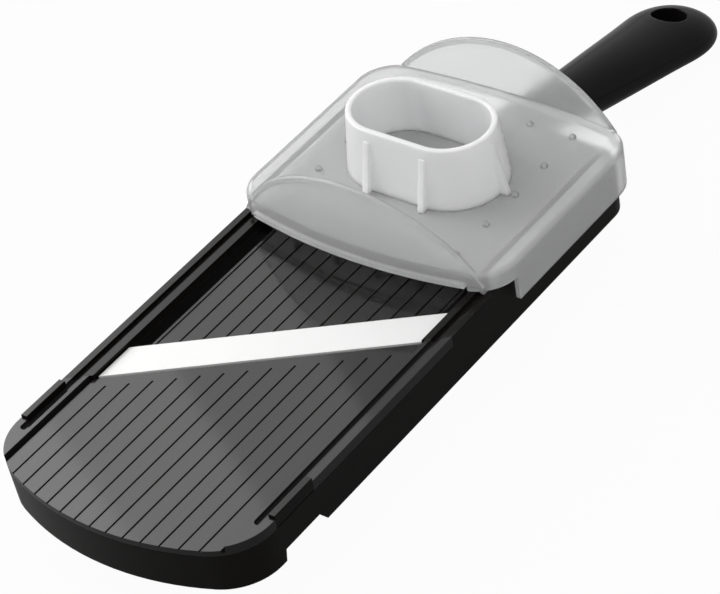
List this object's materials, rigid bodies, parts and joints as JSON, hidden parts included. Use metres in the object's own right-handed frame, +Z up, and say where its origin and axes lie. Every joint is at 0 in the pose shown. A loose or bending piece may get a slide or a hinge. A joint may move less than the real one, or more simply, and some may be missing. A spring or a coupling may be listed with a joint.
{
  "type": "mandoline slicer",
  "caption": "Hand-held mandoline slicer with a diagonal ceramic blade, a runway raised by a dial, grooved decks, a drooping handle and a frosted sliding hand guard",
  "frame": {"origin": "bottom centre of the bounding box", "axes": "X across the slicer, Y from the tip to the handle, Z up"},
  "size_m": [0.0952, 0.3126, 0.0658],
  "materials": {
    "black_plastic": "satin gloss black",
    "dial_plastic": "matte dark grey",
    "white_ceramic": "fine-ground white zirconia",
    "frosted_plastic": "frosted translucent",
    "steel": "plain steel"
  },
  "bodies": {
    "frame": {"frame": "black_plastic", "front_deck": "black_plastic", "rim_block_left": "black_plastic", "rim_block_right": "black_plastic", "blade": "white_ceramic", "blade_seat": "dial_plastic", "seat_screws": "steel", "deck_screws": "steel", "handle": "black_plastic", "handle_screws": "steel", "cross_bridge": "dial_plastic", "bridge_screws": "steel", "detent_leaf": "steel", "detent_screw": "steel"},
    "dial": {"adjust_dial": "dial_plastic", "dial_clip": "steel"},
    "runway": {"runway_plate": "black_plastic"},
    "guard": {"guard_plate": "frosted_plastic", "finger_cup": "frosted_plastic", "gripper_pins": "frosted_plastic"}
  },
  "joints": [
    {"name": "dial_turn", "type": "hinge", "parent": "frame", "child": "dial", "pos_m": [0, -0.00736, 0.02204], "axis": [0, 0, 1], "range_deg": [-108, 162]},
    {"name": "runway_lift", "type": "slide", "parent": "frame", "child": "runway", "axis": [0, 0, 1], "range_m": [-0.001, 0.0015]},
    {"name": "guard_slide", "type": "slide", "parent": "frame", "child": "guard", "axis": [0, -1, 0], "range_m": [0, 0.085]}
  ],
  "couplings": [
    {"joint": "dial_turn", "follows": "runway_lift", "rad_per_m": 1885}
  ]
}
